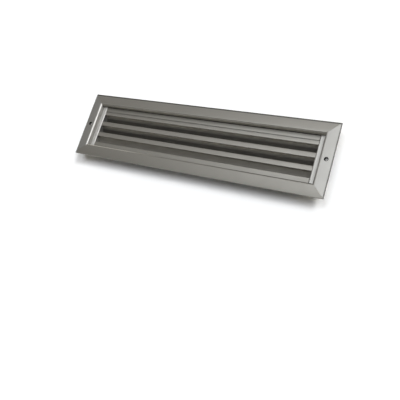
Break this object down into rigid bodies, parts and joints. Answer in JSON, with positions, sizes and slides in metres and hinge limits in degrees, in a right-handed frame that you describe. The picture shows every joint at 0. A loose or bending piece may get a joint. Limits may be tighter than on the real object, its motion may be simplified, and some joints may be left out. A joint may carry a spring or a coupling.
{
  "type": "door ventilation grille",
  "caption": "Long aluminium door ventilation grille: mitred frame with rolled inner edge and collar, countersunk end holes, and fixed folded blades in a riveted sheet core.",
  "frame": {"origin": "middle of the plane in which the frame lies on the door, midway between the two screw holes", "axes": "+X along the grille, +Y towards its top edge, +Z out of the door, towards the room"},
  "size_m": [0.543, 0.143, 0.0308],
  "materials": {
    "frame_long": "satin anodised, brushed along the length",
    "frame_end": "satin anodised, brushed along the short side",
    "core_rail": "satin anodised sheet",
    "core_stile": "satin anodised sheet",
    "blade": "satin anodised, brushed along the length",
    "bracket": "yellow zinc plated",
    "rivet": "plain aluminium"
  },
  "bodies": {
    "root": {"blade_1": "blade", "blade_2": "blade", "blade_3": "blade", "core_rail_bottom": "core_rail", "core_rail_top": "core_rail", "core_rivet_bottom_left": "rivet", "core_rivet_bottom_right": "rivet", "core_rivet_top_left": "rivet", "core_rivet_top_right": "rivet", "core_stile_left": "core_stile", "core_stile_right": "core_stile", "corner_bracket_bottom_left": "bracket", "corner_bracket_bottom_right": "bracket", "corner_bracket_top_left": "bracket", "corner_bracket_top_right": "bracket", "frame_bottom": "frame_long", "frame_left": "frame_end", "frame_right": "frame_end", "frame_rivet_bottom_left": "rivet", "frame_rivet_bottom_middle": "rivet", "frame_rivet_bottom_right": "rivet", "frame_rivet_top_left": "rivet", "frame_rivet_top_middle": "rivet", "frame_rivet_top_right": "rivet", "frame_top": "frame_long"}
  },
  "joints": []
}
